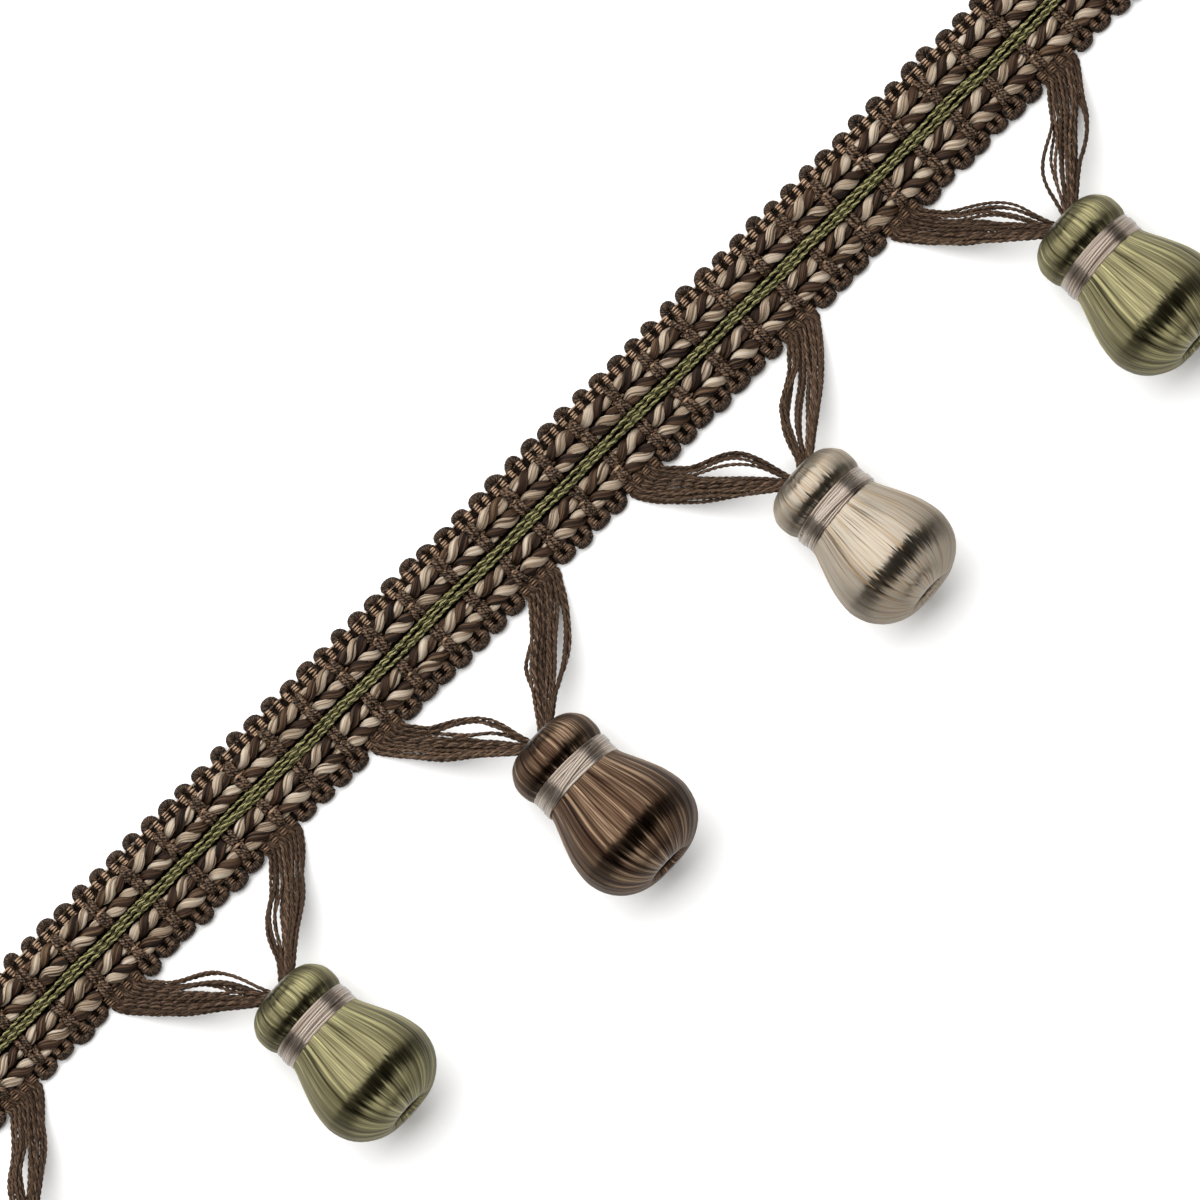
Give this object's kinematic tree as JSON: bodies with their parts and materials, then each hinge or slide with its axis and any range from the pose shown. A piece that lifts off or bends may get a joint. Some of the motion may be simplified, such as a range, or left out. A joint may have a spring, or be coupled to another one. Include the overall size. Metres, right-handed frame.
{
  "type": "beaded fringe",
  "caption": "Cut length of upholstery fringe: a woven gimp heading of twisted cords with picot edges, and floss-wound drops hung from paired yarn skeins.",
  "frame": {"origin": "middle of the flat back of the heading, halfway along its length and its width", "axes": "+X along the heading, -Y from the heading's front edge towards the drops, +Z out of the heading's face"},
  "size_m": [0.3602, 0.0763, 0.0257],
  "materials": {
    "heading_gimp": "ribbed weave of dark brown gimp cord with brown and cream floss plies",
    "centre_green": "fine two-ply green threads",
    "leg_yarn": "matte two-ply brown yarn",
    "floss_cream": "satin floss, cream with ochre streaks",
    "floss_green": "satin floss, sage green with pale and dark streaks",
    "floss_brown": "satin floss, brown with pale and chestnut streaks",
    "binding_taupe": "satin floss wound in turns, taupe"
  },
  "bodies": {
    "root": {"heading": "heading_gimp", "centre_cord": "centre_green", "skein_1_left": "leg_yarn", "skein_1_right": "leg_yarn", "drop_1": "floss_cream", "binding_1": "binding_taupe", "skein_2_left": "leg_yarn", "skein_2_right": "leg_yarn", "drop_2": "floss_green", "binding_2": "binding_taupe", "skein_3_left": "leg_yarn", "skein_3_right": "leg_yarn", "drop_3": "floss_brown", "binding_3": "binding_taupe", "skein_4_left": "leg_yarn", "skein_4_right": "leg_yarn", "drop_4": "floss_cream", "binding_4": "binding_taupe", "skein_5_left": "leg_yarn", "skein_5_right": "leg_yarn", "drop_5": "floss_green", "binding_5": "binding_taupe"}
  },
  "joints": []
}
